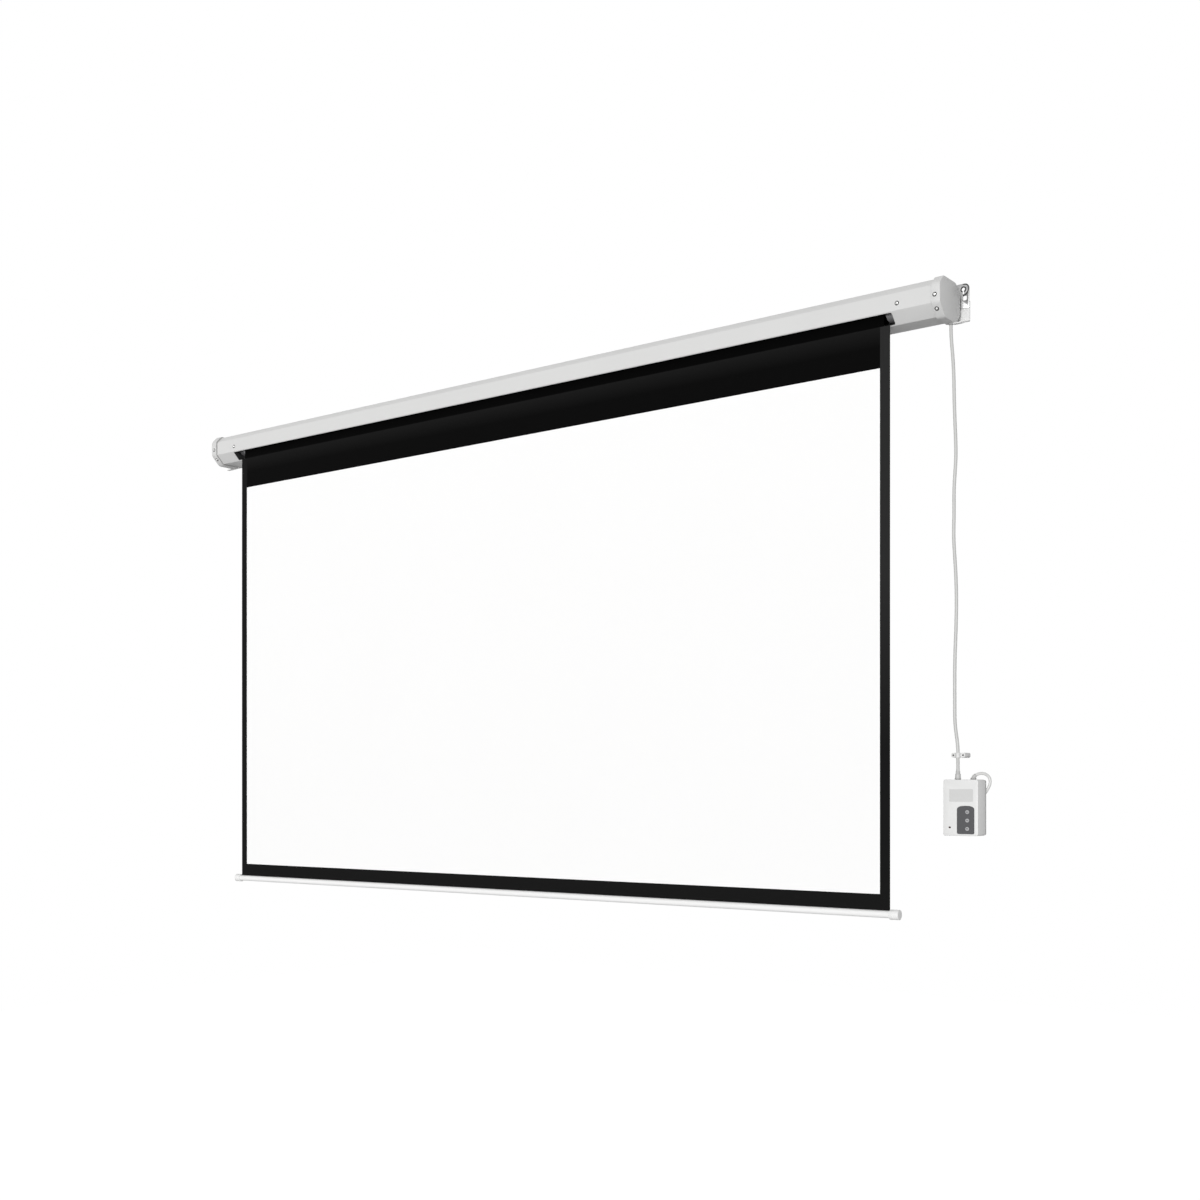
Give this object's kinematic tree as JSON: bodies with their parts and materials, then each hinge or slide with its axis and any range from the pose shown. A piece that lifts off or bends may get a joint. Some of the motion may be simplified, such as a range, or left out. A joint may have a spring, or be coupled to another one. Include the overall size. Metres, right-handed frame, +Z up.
{
  "type": "motorized projector screen",
  "caption": "Wall-hung motorized projector screen: a faceted case, a tube-motor roller, bordered fabric on a round bottom bar, and a control box hanging on its cord.",
  "frame": {"origin": "on the wall's plane, at the middle of the viewing field's width and level with the roller's axis", "axes": "+X along the case towards the control box's end, +Y into the wall, +Z up"},
  "size_m": [2.6058, 0.1264, 1.4388],
  "materials": {
    "case_paint": "white powder coat",
    "cap_plastic": "light grey-white moulded plastic",
    "zinc": "zinc-plated steel",
    "steel": "bare steel",
    "aluminium": "white-lacquered aluminium",
    "copper_core": "laminated core with copper windings",
    "dark_plastic": "dark grey moulded plastic",
    "black_fabric": "matt black coated cloth",
    "white_fabric": "matt white viewing surface",
    "white_plastic": "satin white moulded plastic",
    "keypad_grey": "dark grey moulded plastic",
    "key_grey": "mid grey moulded plastic",
    "board_green": "circuit board with solder mask",
    "relay_blue": "relay housing",
    "led_red": "tinted lamp lens",
    "cord_white": "white cord sheath"
  },
  "bodies": {
    "case": {"case_shell": "case_paint", "end_cap_left": "cap_plastic", "end_cap_right": "cap_plastic", "wall_bracket_left": "case_paint", "wall_bracket_right": "case_paint", "hanging_eye_left": "zinc", "hanging_eye_right": "zinc", "roller_carrier_left": "steel", "roller_carrier_right": "steel", "cap_screw_left_upper": "zinc", "cap_screw_left_lower": "zinc", "cap_screw_right_upper": "zinc", "cap_screw_right_lower": "zinc", "case_screw_left": "zinc", "case_screw_right": "zinc", "motor_head": "dark_plastic", "motor_tube": "zinc", "run_capacitor": "aluminium", "stator": "copper_core", "gearbox_housing": "zinc", "idler_pin": "steel", "cord_grommet": "dark_plastic", "inner_lead": "cord_white", "screen_fabric": "black_fabric", "viewing_field": "white_fabric", "box_cover": "white_plastic", "box_back": "dark_plastic", "keypad_panel": "keypad_grey", "circuit_board": "board_green", "relay_up": "relay_blue", "relay_down": "relay_blue", "transformer": "zinc", "status_led": "led_red", "motor_gland": "white_plastic", "mains_gland": "white_plastic", "motor_cord": "cord_white", "mains_cord": "cord_white", "mains_coil": "cord_white", "mains_tail": "cord_white", "coil_tie": "dark_plastic", "mains_plug": "white_plastic", "saddle_clip": "white_plastic"},
    "roller": {"roller_tube": "aluminium", "fabric_roll": "black_fabric", "crown_wheel": "white_plastic", "drive_wheel": "dark_plastic", "output_shaft": "steel", "idler_plug": "dark_plastic", "idler_bearing": "steel"},
    "rotor": {"rotor": "steel"},
    "bar": {"bar_tube": "aluminium", "bar_cap_left": "white_plastic", "bar_cap_right": "white_plastic", "fabric_hem": "black_fabric", "hem_spline": "white_plastic"},
    "up_button": {"up_button": "key_grey"},
    "stop_button": {"stop_button": "key_grey"},
    "down_button": {"down_button": "key_grey"},
    "limit_screw_up": {"limit_screw_up": "steel"},
    "limit_screw_down": {"limit_screw_down": "steel"}
  },
  "joints": [
    {"name": "roller_spin", "type": "hinge", "parent": "case", "child": "roller", "pos_m": [0, -0.0785, 0], "axis": [-1, 0, 0], "range_deg": [0, 2855.5]},
    {"name": "bar_travel", "type": "slide", "parent": "case", "child": "bar", "axis": [0, 0, 1], "range_m": [0, 1.3095], "deforming": ["screen_fabric", "viewing_field"]},
    {"name": "rotor_spin", "type": "hinge", "parent": "case", "child": "rotor", "pos_m": [1, -0.0785, 0], "axis": [-1, 0, 0], "continuous": true},
    {"name": "up_button_press", "type": "slide", "parent": "case", "child": "up_button", "axis": [0, 1, 0], "range_m": [0, 0.0012], "stiffness_N_per_m": 900},
    {"name": "stop_button_press", "type": "slide", "parent": "case", "child": "stop_button", "axis": [0, 1, 0], "range_m": [0, 0.0012], "stiffness_N_per_m": 900},
    {"name": "down_button_press", "type": "slide", "parent": "case", "child": "down_button", "axis": [0, 1, 0], "range_m": [0, 0.0012], "stiffness_N_per_m": 900},
    {"name": "limit_screw_up_turn", "type": "hinge", "parent": "case", "child": "limit_screw_up", "pos_m": [1.175, -0.0785, 0.007], "axis": [1, 0, 0], "continuous": true},
    {"name": "limit_screw_down_turn", "type": "hinge", "parent": "case", "child": "limit_screw_down", "pos_m": [1.175, -0.0785, -0.007], "axis": [1, 0, 0], "continuous": true}
  ],
  "couplings": [
    {"joint": "bar_travel", "follows": "roller_spin", "m_per_rad": 0.026275},
    {"joint": "rotor_spin", "follows": "roller_spin", "ratio": 50}
  ]
}
